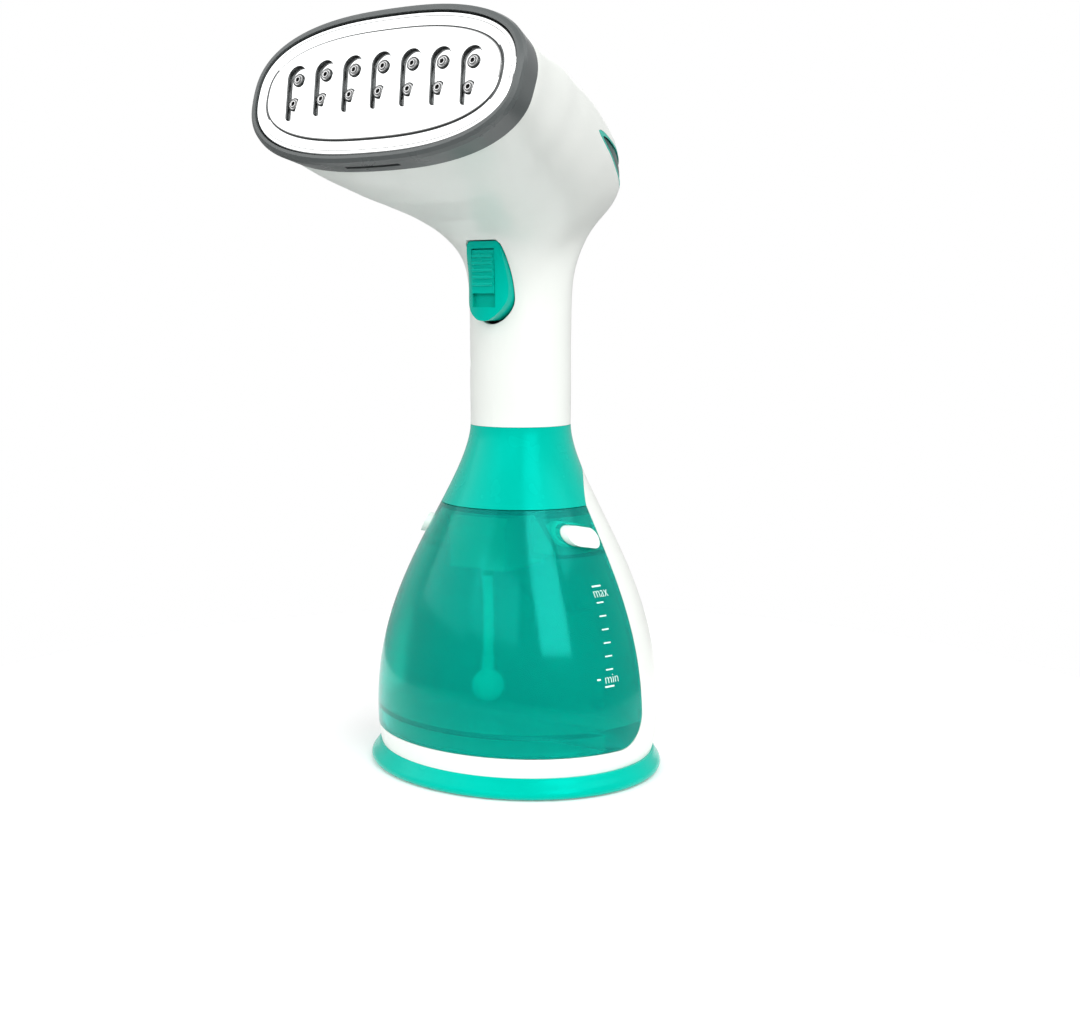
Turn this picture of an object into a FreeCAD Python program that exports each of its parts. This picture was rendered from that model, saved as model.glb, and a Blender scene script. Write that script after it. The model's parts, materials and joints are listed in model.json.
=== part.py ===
import FreeCAD, Part
import Sketcher
import math
import os
from FreeCAD import Placement, Rotation, Vector

# Hand-held garment steamer, standing on its foot.
# Frame: origin at the centre of the foot's underside, +Z up, the steam plate faces -Y.

doc = FreeCAD.newDocument("garment_steamer")

# ---------------------------------------------------------------- driving dimensions
DIMENSIONS = {
    "foot_half_width": 60.0, "foot_half_depth": 51.6, "foot_height": 7.8,
    "pad_half_width": 46.0, "pad_half_depth": 38.0, "pad_thickness": 2.4,
    "bell_half_width": 57.7, "bell_ratio": 0.865, "bell_low": 20.0,
    "collar_low": 104.0, "handle_low": 134.0, "handle_radius": 19.6,
    "axis_lean": 0.0335, "wall": 2.2, "gap": 0.3,
    "tank_low": 15.5, "tank_floor": 22.0, "tank_corner": 13.0,
    "split_y": 1.0, "split_lean": 0.0337,
    "plate_tilt": 17.4, "plate_y": -79.9, "plate_z": 252.7,
    "plate_half_width": 54.5, "plate_half_height": 24.3, "plate_thickness": 3.0,
    "ring_half_width": 57.5, "ring_half_height": 27.5, "ring_depth": 9.95, "ring_bevel": 2.2,
    "slot_pitch": 12.4, "slot_length": 19.8, "slot_width": 8.0, "slot_arch": 1.6,
    "hole_radius": 1.0, "nozzle_radius": 2.3, "nozzle_height": 1.0,
    "block_half_width": 46.0, "block_half_height": 17.5, "block_depth": 14.0,
    "element_radius": 3.2, "cutout_radius": 8.0, "cutout_height": 6.0,
    "spigot_z": 92.0, "spigot_radius": 3.4, "spigot_bore": 1.8, "seal_radius": 5.0,
    "hose_radius": 2.0, "sinker_radius": 6.25, "sinker_z": 34.0, "sinker_y": -17.7,
    "button_length": 13.4, "button_height": 7.5,
    "button_y": -6.9, "button_z": 93.7, "button_tilt": 12.0, "button_proud": 2.4,
    "trigger_half_width": 7.4, "trigger_belly": 9.0, "trigger_top": 203.4, "trigger_tip": 174.0,
    "trigger_face": -20.2, "trigger_depth": 12.0, "pin_radius": 1.25,
    "slider_half_width": 4.9, "slider_top": 200.2, "slider_length": 16.0, "slider_travel": 4.6,
    "lens_half_width": 42.8, "lens_half_height": 6.8, "lens_v": 11.3, "lens_rim": 1.1,
    "pump_length": 46.0, "pump_y": 24.0, "pump_z": 46.0,
    "plunger_radius": 3.0, "pump_bore": 3.1,
    "gland_radius": 6.5, "gland_bore": 3.6, "gland_z": 27.0,
}
sheet = doc.addObject("Spreadsheet::Sheet", "Params")
for row, (alias, value) in enumerate(DIMENSIONS.items(), start=1):
    sheet.set(f"A{row}", alias)
    sheet.set(f"B{row}", str(value))
    sheet.setAlias(f"B{row}", alias)
doc.recompute()


def cell(alias):
    return float(sheet.get(alias))


WALL = cell("wall")
GAP = cell("gap")
X_AXIS, Y_AXIS, Z_AXIS = Vector(1, 0, 0), Vector(0, 1, 0), Vector(0, 0, 1)
REACH = 90.0          # longer than any half extent, for cutting solids
NODES = []


def node(obj, label):
    """Marks an object as a finished sub-part: its label names its file."""
    obj.Label = label
    NODES.append(obj)
    return obj


def feature(label, shape, place=None):
    obj = doc.addObject("Part::Feature", label)
    obj.Shape = shape
    if place is not None:
        obj.Placement = place
    return node(obj, label)


def amount(value):
    """A size given as a number, an alias, or (alias, factor, offset): its value and its expression."""
    if isinstance(value, str):
        return cell(value), f"Params.{value}"
    if isinstance(value, tuple):
        alias, factor, offset = value
        return cell(alias) * factor + offset, f"Params.{alias} * {factor} + {offset}"
    return float(value), None


def primitive(kind, name, place, **sizes):
    """A Part workbench primitive whose sizes are bound to the sheet."""
    obj = doc.addObject("Part::" + kind, name)
    obj.Placement = place
    for prop, value in sizes.items():
        number, expression = amount(value)
        setattr(obj, prop, number)
        if expression:
            obj.setExpression(prop, expression)
    return obj


def boolean(kind, name, base, tool):
    obj = doc.addObject("Part::" + kind, name)
    obj.Base = base
    obj.Tool = tool
    return obj


def at(x, y, z, rotation=None):
    return Placement(Vector(x, y, z), rotation or Rotation())


def plane_of(body, role):
    return next(f for f in body.Origin.OriginFeatures if f.Role == role)


def pin_point(sketch, geometry, end, x, y):
    """Fixes one sketch point by its two coordinates, bound to the sheet where they are aliases."""
    for axis, value in (("X", x), ("Y", y)):
        number, expression = amount(value)
        if abs(number) < 1e-9:
            datum = -2 if axis == "X" else -1
            sketch.addConstraint(Sketcher.Constraint("PointOnObject", geometry, end, datum))
            continue
        index = sketch.addConstraint(
            Sketcher.Constraint("Distance" + axis, -1, 1, geometry, end, number))
        if expression:
            sketch.setExpression(f"Constraints[{index}]", expression)


def outline_sketch(body, role, name, corners):
    """A closed polygon of straight lines with every corner placed."""
    sketch = body.newObject("Sketcher::SketchObject", name)
    sketch.AttachmentSupport = (plane_of(body, role), [""])
    sketch.MapMode = "FlatFace"
    points = [Vector(amount(x)[0], amount(y)[0], 0) for x, y in corners]
    count = len(points)
    for i in range(count):
        sketch.addGeometry(Part.LineSegment(points[i], points[(i + 1) % count]), False)
    for i in range(count):
        sketch.addConstraint(Sketcher.Constraint("Coincident", i, 2, (i + 1) % count, 1))
    for i, (x, y) in enumerate(corners):
        pin_point(sketch, i, 1, x, y)
    return sketch


def circle_sketch(body, role, name, x, y, radius):
    sketch = body.newObject("Sketcher::SketchObject", name)
    sketch.AttachmentSupport = (plane_of(body, role), [""])
    sketch.MapMode = "FlatFace"
    number, expression = amount(radius)
    sketch.addGeometry(Part.Circle(Vector(amount(x)[0], amount(y)[0], 0), Z_AXIS, number), False)
    pin_point(sketch, 0, 3, x, y)
    index = sketch.addConstraint(Sketcher.Constraint("Radius", 0, number))
    if expression:
        sketch.setExpression(f"Constraints[{index}]", expression)
    return sketch


def turned(label, profile, place):
    """A turned piece: a closed (radius, height) profile revolved about its own Z axis."""
    body = doc.addObject("PartDesign::Body", label)
    sketch = outline_sketch(body, "XZ_Plane", label + "_profile", profile)
    revolution = body.newObject("PartDesign::Revolution", label + "_turn")
    revolution.Profile = sketch
    revolution.ReferenceAxis = (sketch, ["V_Axis"])
    revolution.Angle = 360
    body.Placement = place
    return node(body, label)


def slab_body(label, corners, thickness, place):
    """A PartDesign plate: a polygon in its XY plane, padded upwards. The caller may add features."""
    body = doc.addObject("PartDesign::Body", label)
    sketch = outline_sketch(body, "XY_Plane", label + "_outline", corners)
    pad = body.newObject("PartDesign::Pad", label + "_pad")
    pad.Profile = sketch
    number, expression = amount(thickness)
    pad.Length = number
    if expression:
        pad.setExpression("Length", expression)
    body.Placement = place
    return node(body, label)


def pocket_holes(body, name, centres, radius):
    """Round holes right through a slab body, cut one sketch at a time."""
    for i, (x, y) in enumerate(centres):
        sketch = circle_sketch(body, "XY_Plane", f"{name}_{i}", x, y, radius)
        pocket = body.newObject("PartDesign::Pocket", f"{name}_cut_{i}")
        pocket.Profile = sketch
        pocket.Type = 1
        pocket.Midplane = True


def rectangle(half_x, half_y):
    def minus(value):
        if isinstance(value, str):
            return (value, -1, 0)
        if isinstance(value, tuple):
            return (value[0], -value[1], -value[2])
        return -value
    return [(minus(half_x), minus(half_y)), (half_x, minus(half_y)), (half_x, half_y),
            (minus(half_x), half_y)]


# ---------------------------------------------------------------- curves and lofts
def superellipse(half_u, half_v, exponent, placing, count=28):
    """A closed smooth wire |u/a|^n + |v/b|^n = 1, each point put in space by placing(u, v)."""
    points = []
    for i in range(count):
        angle = 2 * math.pi * i / count
        c, s = math.cos(angle), math.sin(angle)
        u = half_u * math.copysign(abs(c) ** (2 / exponent), c)
        v = half_v * math.copysign(abs(s) ** (2 / exponent), s)
        points.append(placing(u, v))
    curve = Part.BSplineCurve()
    curve.interpolate(Points=points, PeriodicFlag=True)
    return Part.Wire([curve.toShape()])


def flat_oval(half_u, half_v, exponent, low, high):
    """A straight-sided solid on a superellipse, along its own Z."""
    wire = superellipse(half_u, half_v, exponent, lambda u, v: Vector(u, v, low))
    return Part.Face(wire).extrude(Vector(0, 0, high - low))


def bell_section(z, inset):
    """Half width, half depth and centre of the body under the handle, at height z."""
    low, high = cell("bell_low"), cell("handle_low")
    rise = min(max((z - low) / (high - low), 0.0), 1.0)
    ratio = cell("bell_ratio") + (1 - cell("bell_ratio")) * rise
    swell = (1 - rise ** 2.2) ** 1.7
    half_width = cell("handle_radius") + (cell("bell_half_width") - cell("handle_radius")) * swell
    if z < low:
        half_width -= 1.6 * ((low - z) / 12.0) ** 2
    centre = 1.0 + cell("axis_lean") * (z - cell("foot_height"))
    return half_width - inset, half_width * ratio - inset, centre


def bell(inset, low, high, stations=10):
    """The body under the handle as a solid, shrunk sideways by inset."""
    wires = []
    for i in range(stations):
        z = low + (high - low) * i / (stations - 1)
        half_width, half_depth, centre = bell_section(z, inset)
        wires.append(superellipse(half_width, half_depth, 2.0,
                                  lambda u, v, z=z, c=centre: Vector(u, c + v, z)))
    return Part.makeLoft(wires, True, False)


def block(x0, x1, y0, y1, z0, z1):
    return Part.makeBox(x1 - x0, y1 - y0, z1 - z0, Vector(x0, y0, z0))


def side_prism(points, half_width=REACH):
    """A solid along X from a side-view outline of (y, z) corners."""
    corners = [Vector(-half_width, y, z) for y, z in points]
    wire = Part.makePolygon(corners + corners[:1])
    return Part.Face(wire).extrude(Vector(2 * half_width, 0, 0))


def split_y(z):
    """The plane where the tank meets the rear housing, leaning slightly back."""
    return cell("split_y") + cell("split_lean") * (z - cell("bell_low"))


def tank_zone(grow):
    """The room of the tank in side view, with its lower rear corner rounded."""
    low, high = cell("tank_low") - grow, cell("collar_low") - GAP + grow
    prism = side_prism([(-REACH, low), (split_y(low) + grow, low),
                        (split_y(high) + grow, high), (-REACH, high)])
    corner = [e for e in prism.Edges
              if all(abs(v.Y - split_y(low) - grow) < 1e-6 and abs(v.Z - low) < 1e-6
                     for v in e.Vertexes)]
    return prism.makeFillet(cell("tank_corner"), corner)


def collar_zone(shrink):
    """The room of the collar: level above the tank, then rising round the back."""
    low, high = cell("collar_low") + shrink, cell("handle_low")
    front, rear = Vector(-REACH, -REACH, low), Vector(-REACH, split_y(low) + 0.2, low)
    top = Vector(-REACH, 31, low + 15.6)
    arc = Part.Arc(rear, Vector(-REACH, 10.8, low + 9.3), top).toShape()
    corners = [top, Vector(-REACH, REACH, low + 15.6), Vector(-REACH, REACH, high),
               Vector(-REACH, -REACH, high), front, rear]
    edges = [arc] + [Part.LineSegment(a, b).toShape() for a, b in zip(corners, corners[1:])]
    return Part.Face(Part.Wire(Part.__sortEdges__(edges))).extrude(Vector(2 * REACH, 0, 0))


def tube_path(points, radius_factor=0.45):
    """Straight runs joined by tangent arcs, each as large as its two runs allow."""
    vectors = [Vector(*p) for p in points]
    edges, start = [], vectors[0]
    for before, corner, after in zip(vectors, vectors[1:], vectors[2:]):
        back, ahead = before - corner, after - corner
        turn = math.pi - back.getAngle(ahead)
        cut = radius_factor * min(back.Length, ahead.Length)
        radius = cut / math.tan(turn / 2)
        first = corner + Vector(back).normalize() * cut
        last = corner + Vector(ahead).normalize() * cut
        bisector = (Vector(back).normalize() + Vector(ahead).normalize()).normalize()
        middle = corner + bisector * (radius / math.cos(turn / 2) - radius)
        edges.append(Part.LineSegment(start, first).toShape())
        edges.append(Part.Arc(first, middle, last).toShape())
        start = last
    edges.append(Part.LineSegment(start, vectors[-1]).toShape())
    return Part.Wire(edges)


def tube(points, radius, bore=0.0):
    """A hose or wire along a route, hollow where it has a bore."""
    path = tube_path(points)
    start = Vector(*points[0])
    along = (Vector(*points[1]) - start).normalize()

    def swept(size):
        ring = Part.Wire([Part.Circle(start, along, size).toShape()])
        return path.makePipeShell([ring], True, False)
    outside = swept(radius)
    expected = math.pi * radius ** 2 * path.Length
    if abs(outside.Volume - expected) > 0.03 * expected:
        raise RuntimeError(f"tube volume {outside.Volume:.0f} is not {expected:.0f}")
    return outside.cut(swept(bore)) if bore else outside


def coil_spring(radius, wire, pitch, length, place):
    """A round-wire compression spring along its own Z."""
    helix = Part.makeHelix(pitch, length - wire * 2, radius)
    ring = Part.Wire([Part.Circle(Vector(radius, 0, 0), Y_AXIS, wire).toShape()])
    spring = Part.Wire(helix.Edges).makePipeShell([ring], True, True)
    spring.translate(Vector(0, 0, wire))
    spring.Placement = place.multiply(spring.Placement)
    return spring


def screw(head_radius, shank_radius, length, place):
    """A pan-head screw pointing down its own -Z, head at the origin."""
    head = Part.makeCylinder(head_radius, 1.8)
    cross = Part.makeBox(head_radius * 1.2, 0.7, 1.0, Vector(-head_radius * 0.6, -0.35, 1.1))
    turned_cross = cross.copy()
    turned_cross.rotate(Vector(0, 0, 0), Z_AXIS, 90)
    shank = Part.makeCylinder(shank_radius, length, Vector(0, 0, -length))
    shape = head.cut(cross).cut(turned_cross).fuse(shank)
    shape.Placement = place
    return shape


# ---------------------------------------------------------------- the plate's own frame
TILT = cell("plate_tilt")
PLATE_PLACE = at(0, cell("plate_y"), cell("plate_z"), Rotation(X_AXIS, 90 - TILT))


def from_plate(u, v, w):
    """A point given across the plate, up the plate and out of the plate."""
    return PLATE_PLACE.multVec(Vector(u, v, w))


# ---------------------------------------------------------------- foot
BASE_SCREWS = [(-30, -18), (30, -18), (-30, 18), (30, 18)]


def build_foot():
    steps = [(0.4, -1.6), (1.0, -0.6), (2.2, 0.0), (3.6, -0.3), (5.6, -1.7), (cell("foot_height"), -3.0)]
    wires = []
    for z, spread in steps:
        centre = 1.0 * z / cell("foot_height")
        half_x, half_y = cell("foot_half_width") + spread, cell("foot_half_depth") + spread
        wires.append(superellipse(half_x, half_y, 2.0,
                                  lambda u, v, z=z, c=centre: Vector(u, c + v, z)))
    solid = Part.makeLoft(wires, True, False)
    pad_x, pad_y, pad_top = cell("pad_half_width"), cell("pad_half_depth"), cell("pad_thickness")
    recess = flat_oval(pad_x + 0.15, pad_y + 0.15, 2.0, 0.0, pad_top)
    hollow = flat_oval(pad_x - 3, pad_y - 3, 2.0, pad_top, 5.2)
    solid = solid.cut(recess).cut(hollow)
    for x, y in BASE_SCREWS:
        solid = solid.cut(Part.makeCylinder(1.75, 12, Vector(x, y, 0)))
    feature("foot_base", solid.removeSplitter())
    feature("anti_slip_pad", flat_oval(pad_x, pad_y, 2.0, 0.0, pad_top))
    feature("base_screws", Part.makeCompound(
        [screw(2.9, 1.4, 6.0, at(x, y, 5.2, Rotation(X_AXIS, 180))) for x, y in BASE_SCREWS]))


# ---------------------------------------------------------------- rear housing and its inner wall
BULKHEAD_SCREWS = [(-38, 28), (38, 28), (-26, 64), (26, 64)]


def build_housing():
    low, foot_top = cell("tank_low"), cell("foot_height")
    outer = bell(0.0, foot_top, 124.0)
    inner = bell(WALL, foot_top - 1, 125.0)
    shell = outer.cut(inner)
    floor = bell(WALL - 0.3, 12.6, low - GAP, 3)
    shell = shell.fuse(floor)
    for x, y in BASE_SCREWS:
        post = Part.makeCylinder(4.0, 12.8 - foot_top, Vector(x, y, foot_top))
        shell = shell.fuse(post).cut(Part.makeCylinder(1.4, 5.1, Vector(x, y, foot_top)))
    for x, z in BULKHEAD_SCREWS:
        front = split_y(z) + 4.85
        post = Part.makeCylinder(3.2, 60, Vector(x, front, z), Y_AXIS).common(bell(WALL - 0.3, 20, 80))
        shell = shell.fuse(post).cut(Part.makeCylinder(1.4, 8.5, Vector(x, front, z), Y_AXIS))
    shell = shell.cut(tank_zone(GAP)).cut(collar_zone(-0.2))
    hole = Part.makeCylinder(cell("gland_radius"), 40, Vector(0, 30, cell("gland_z")), Y_AXIS)
    shell = shell.cut(hole).removeSplitter()
    feature("rear_housing", shell)


def latch_window(side):
    """The slot in the inner wall that a latch arm and its barb pass, on one side."""
    x0, x1 = sorted((side * 24.6, side * 32.4))
    return block(x0, x1, -3, 12, 90.0, 95.2)


def build_bulkhead():
    room = bell(WALL + 0.15, 15.3, 118.0)
    low, high = 15.3, 116.0
    wall = side_prism([(split_y(low) + 0.6, low), (split_y(low) + 2.8, low),
                       (split_y(high) + 2.8, high), (split_y(high) + 0.6, high)])
    deck_low = cell("collar_low") + 0.4
    deck = side_prism([(-REACH, deck_low), (split_y(deck_low) + 2.8, deck_low),
                       (split_y(deck_low) + 2.8, deck_low + 2), (-REACH, deck_low + 2)])
    shape = room.common(wall.fuse(deck))
    centre = Vector(0, -6, cell("spigot_z"))
    shape = shape.cut(Part.makeCylinder(cell("spigot_radius") + 0.05, 30, centre, Y_AXIS))
    shape = shape.cut(latch_window(-1)).cut(latch_window(1))
    for x, z in BULKHEAD_SCREWS:
        face = split_y(z)
        shape = shape.fuse(Part.makeCylinder(4.5, 3.4, Vector(x, face + 1.4, z), Y_AXIS))
        shape = shape.cut(Part.makeCylinder(3.1, 5.6, Vector(x, face - 3.0, z), Y_AXIS))
        shape = shape.cut(Part.makeCylinder(1.75, 10, Vector(x, face, z), Y_AXIS))
    feature("bulkhead", shape)
    forward = Rotation(X_AXIS, 90)
    feature("bulkhead_screws", Part.makeCompound(
        [screw(2.9, 1.4, 10.0, at(x, split_y(z) + 2.6, z, forward)) for x, z in BULKHEAD_SCREWS]))


def build_coupling():
    """The spigot that the tank plugs onto, with a flange behind the wall and a hose barb."""
    turned("dock_spigot",
           [("spigot_bore", 0), ("spigot_radius", 0), ("spigot_radius", 12.5), (6.0, 12.5), (6.0, 14.2),
            (2.5, 14.2), (2.5, 20.0), ("spigot_bore", 20.0)],
           at(0, -6.0, cell("spigot_z"), Rotation(X_AXIS, -90)))


# ---------------------------------------------------------------- collar
def build_collar():
    low, high = cell("collar_low"), cell("handle_low") - 0.1
    shell = bell(0.0, low, high).cut(bell(WALL, low - 1, high + 1)).common(collar_zone(0.0))
    feature("collar", shell)
    low, high = cell("handle_low") - 12, cell("handle_low") + 10
    neck = flat_ring(cell("handle_radius") - WALL - 0.35, 1.6, low, high)
    feature("neck_sleeve", neck)


def flat_ring(radius, thickness, low, high):
    centre = bell_section(cell("handle_low"), 0)[2]
    place = Vector(0, centre, low)
    return Part.makeCylinder(radius, high - low, place).cut(
        Part.makeCylinder(radius - thickness, high - low, place))


# ---------------------------------------------------------------- head and handle shells
# Stations from the steam plate back over the dome and down the handle: front point (y, z),
# rear point (y, z), half width, squareness. All are side-view sizes of the outer face.
HEAD_STATIONS = [
    ((-78.2, 224.6), (-62.5, 274.8), 56.0, 2.50),
    ((-64.0, 218.4), (-36.0, 271.7), 51.3, 2.55),
    ((-50.0, 214.2), (-6.0, 263.9), 46.4, 2.55),
    ((-36.5, 211.0), (22.5, 251.4), 41.2, 2.60),
    ((-25.5, 206.7), (42.0, 236.4), 34.7, 2.60),
    ((-20.0, 201.7), (47.1, 224.2), 27.8, 2.60),
    ((-17.3, 195.3), (37.9, 212.3), 21.9, 2.40),
    ((-15.5, 187.0), (28.4, 196.6), 19.8, 2.10),
    ((-14.6, 176.0), (25.4, 180.0), 19.6, 2.00),
    ((-14.4, 156.0), (24.9, 156.0), 19.6, 2.00),
    ((-14.4, 134.0), (24.8, 134.0), 19.6, 2.00),
]


def through(values, steps):
    """Smooth values between the stations: a cubic through all of them, evenly stepped."""
    curve = Part.BSplineCurve()
    stops = [float(i) for i in range(len(values))]
    curve.interpolate(Points=[Vector(*v) for v in values], Parameters=stops)
    count = (len(values) - 1) * steps
    return [curve.value(i / steps) for i in range(count + 1)]


def head_rows(inset, overrun):
    """Half ovals, front point to rear point, from the plate's end down to the collar."""
    steps, columns = 2, 15
    fronts = through([(0, fy, fz) for (fy, fz), _, _, _ in HEAD_STATIONS], steps)
    rears = through([(0, ry, rz) for _, (ry, rz), _, _ in HEAD_STATIONS], steps)
    girths = through([(w, n, i) for i, (_, _, w, n) in enumerate(HEAD_STATIONS)], steps)
    rows = []
    for index, (front, rear, girth) in enumerate(zip(fronts, rears, girths)):
        across = (rear - front).normalize()
        middle, half_depth = (front + rear) * 0.5, (rear - front).Length / 2 - inset
        if index == 0:
            middle = middle - across.cross(X_AXIS) * overrun
        if index == len(fronts) - 1:
            middle = middle - Z_AXIS * overrun
        row = []
        for step in range(columns):
            angle = math.pi * (step / (columns - 1) - 0.5)
            c = math.cos(angle) if 0 < step < columns - 1 else 0.0
            u = (girth.x - inset) * c ** (2 / girth.y)
            v = half_depth * math.copysign(abs(math.sin(angle)) ** (2 / girth.y), angle)
            row.append(middle + X_AXIS * u + across * v)
        rows.append(row)
    return rows


def head_half(inset, overrun=0.0):
    """The right half of the head and handle as a solid, shrunk by inset on its outer side.

    One smooth skin runs through the half ovals; overrun lengthens both open ends."""
    rows = head_rows(inset, overrun)
    wires = []
    for row in rows:
        curve = Part.BSplineCurve()
        curve.interpolate(Points=row)
        wires.append(Part.Wire([curve.toShape()]))
    skin = Part.makeLoft(wires, False, False, False, 5).Faces[0]
    mouth = Part.LineSegment(rows[0][0], rows[0][-1]).toShape()
    sole = Part.LineSegment(rows[-1][0], rows[-1][-1]).toShape()

    def border(first, second):
        return next(e for e in skin.Edges if all(
            any(v.Point.distanceToPoint(p) < 1e-3 for v in e.Vertexes) for p in (first, second)))
    front = border(rows[0][0], rows[-1][0])
    rear = border(rows[0][-1], rows[-1][-1])
    faces = [skin,
             Part.Face(Part.Wire([border(rows[0][0], rows[0][-1]), mouth])),
             Part.Face(Part.Wire([border(rows[-1][0], rows[-1][-1]), sole])),
             Part.Face(Part.Wire(Part.__sortEdges__([front, rear, mouth, sole])))]
    shell = Part.makeShell(faces)
    shell.sewShape()
    solid = Part.makeSolid(shell)
    if solid.Volume < 0:
        solid.reverse()
    return solid


def both_halves(half):
    return half.fuse(half.mirror(Vector(0, 0, 0), X_AXIS)).removeSplitter()


def lens_cylinder(shrink):
    """The long oval window round the back of the dome, cut along the plate's axis."""
    shape = flat_oval(cell("lens_half_width") - shrink, cell("lens_half_height") - shrink, 2.0, -200, -66)
    shape.Placement = PLATE_PLACE.multiply(at(0, cell("lens_v"), 0))
    return shape


def trigger_outline(grow):
    """Front view of the trigger: narrow at the top, full below, rounded to a tip."""
    top, tip = cell("trigger_top") + grow, cell("trigger_tip") - grow
    narrow, belly = cell("trigger_half_width") + grow, cell("trigger_belly") + grow
    right = [Vector(narrow - 1.2, 0, top), Vector(narrow, 0, top - 1.4), Vector(belly, 0, tip + 9.5)]
    side = Part.Arc(right[1], Vector(belly - 0.25, 0, tip + 17.0), right[2]).toShape()
    corner = Part.LineSegment(right[0], right[1]).toShape()
    lower = Part.Arc(right[2], Vector(belly - 2.4, 0, tip + 3.6), Vector(2.6, 0, tip + 0.4)).toShape()
    half = [corner, side, lower]
    mirrored = [e.mirror(Vector(0, 0, 0), X_AXIS) for e in half]
    lid = Part.LineSegment(right[0], Vector(-narrow + 1.2, 0, top)).toShape()
    foot = Part.Arc(Vector(2.6, 0, tip + 0.4), Vector(0, 0, tip), Vector(-2.6, 0, tip + 0.4)).toShape()
    return Part.Face(Part.Wire(Part.__sortEdges__(half + mirrored + [lid, foot])))


def trigger_prism(grow, front, rear):
    face = trigger_outline(grow)
    face.translate(Vector(0, front, 0))
    return face.extrude(Vector(0, rear - front, 0))


# The screws that draw the two shells together, and the trigger's pin, as (y, z).
HANDLE_SCREWS = [(-7.0, 158.0), (34.0, 221.0)]
PIN_Y, PIN_Z = -13.2, 200.6


def build_head():
    inner = head_half(WALL, 4.0)
    half = head_half(0.0).cut(inner).cut(lens_cylinder(0.0))
    for drop in (0.0, -0.9):
        room = trigger_prism(0.4, -30, 2)
        room.translate(Vector(0, 0, drop))
        half = half.cut(room)
    for y, z in HANDLE_SCREWS:
        boss = Part.makeCylinder(3.2, 22, Vector(0, y, z), X_AXIS).common(inner)
        half = half.fuse(boss).cut(Part.makeCylinder(1.3, 10, Vector(0, y, z), X_AXIS))
    pin_boss = Part.makeCylinder(2.9, 20, Vector(9.6, PIN_Y, PIN_Z), X_AXIS).common(inner)
    pin_hole = Part.makeCylinder(cell("pin_radius"), 4.6, Vector(9.0, PIN_Y, PIN_Z), X_AXIS)
    half = half.fuse(pin_boss).cut(pin_hole)
    half = half.removeSplitter()
    left = half.mirror(Vector(0, 0, 0), X_AXIS)
    for y, z in HANDLE_SCREWS:
        left = left.cut(Part.makeCylinder(2.6, 40, Vector(-7.0, y, z), Vector(-1, 0, 0)))
    feature("head_shell_right", half)
    feature("head_shell_left", left)
    feature("handle_screws", Part.makeCompound(
        [screw(2.4, 1.3, 16.0, at(-7.0, y, z, Rotation(Y_AXIS, -90))) for y, z in HANDLE_SCREWS]))


def build_lens():
    """A rim and a dark window that fill the oval opening, flush with the dome."""
    rear = block(0, REACH, -9, REACH, 200, 290)
    inner = head_half(WALL, 4.0)
    ring = lens_cylinder(0.12).cut(lens_cylinder(0.12 + cell("lens_rim"))).common(rear)
    feature("rear_bezel", both_halves(head_half(0.0).cut(inner).common(ring)))
    window = lens_cylinder(0.14 + cell("lens_rim")).common(rear)
    feature("indicator_lens", both_halves(head_half(0.5).cut(inner).common(window)))
    lamp = Part.makeCylinder(2.5, 5).fuse(Part.makeSphere(2.5, Vector(0, 0, 5)))
    lamp = lamp.fuse(Part.makeCylinder(3.0, 1.0))
    feature("status_lamp", lamp, at(0, 33.0, 229.0, Rotation(X_AXIS, -107)))


# ---------------------------------------------------------------- ring, steam plate and nozzles
def build_ring():
    half_u, half_v, depth = cell("ring_half_width"), cell("ring_half_height"), cell("ring_depth")
    bevel = cell("ring_bevel")

    def oval(spread, w):
        return superellipse(half_u + spread, half_v + spread, 2.5, lambda u, v: Vector(u, v, w))
    back = Part.makeLoft([oval(-0.9, -depth), oval(0.0, -bevel)], True, True)
    front = Part.makeLoft([oval(0.0, -bevel), oval(-0.5, -0.8), oval(-1.7, 0.0)], True, True)
    ring = back.fuse(front)
    opening = flat_oval(cell("plate_half_width") + 0.4, cell("plate_half_height") + 0.4, 2.5, -depth - 1, 1)
    ring = ring.cut(opening)
    flange = flat_oval(cell("plate_half_width") + 1, cell("plate_half_height") + 1, 2.5,
                       -depth, -depth + 1.8)
    ring = ring.fuse(flange.cut(flat_oval(48.5, 19.5, 2.5, -depth - 1, 0)))
    ring = ring.cut(block(-11.5, 11.5, -40, -25.9, -5.8, -3.8)).removeSplitter()
    feature("head_ring", ring, PLATE_PLACE)


def slot_centres():
    """The seven slots' middles: evenly spaced, on a shallow arch."""
    pitch, arch = cell("slot_pitch"), cell("slot_arch")
    return [(i * pitch, arch * (1 - (i / 3.0) ** 2) - 0.4) for i in range(-3, 4)]


def slot_solid(u, v, low, high):
    """One teardrop: a round top running down to a narrow round tip."""
    half_length, top_r, tip_r = cell("slot_length") / 2, cell("slot_width") / 2, 1.3
    top = Vector(u, v + half_length - top_r, low)
    tip = Vector(u, v - half_length + tip_r, low)
    ease = math.asin((top_r - tip_r) / (top - tip).Length)
    side = Vector(math.cos(ease), -math.sin(ease), 0)
    left = Vector(-side.x, side.y, 0)
    edges = [Part.Arc(top + side * top_r, top + Vector(0, top_r, 0), top + left * top_r).toShape(),
             Part.LineSegment(top + left * top_r, tip + left * tip_r).toShape(),
             Part.Arc(tip + left * tip_r, tip - Vector(0, tip_r, 0), tip + side * tip_r).toShape(),
             Part.LineSegment(tip + side * tip_r, top + side * top_r).toShape()]
    return Part.Face(Part.Wire(edges)).extrude(Vector(0, 0, high - low))


def hole_centres():
    return [(u, v + dv) for u, v in slot_centres() for dv in (5.3, -3.6)]


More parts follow.
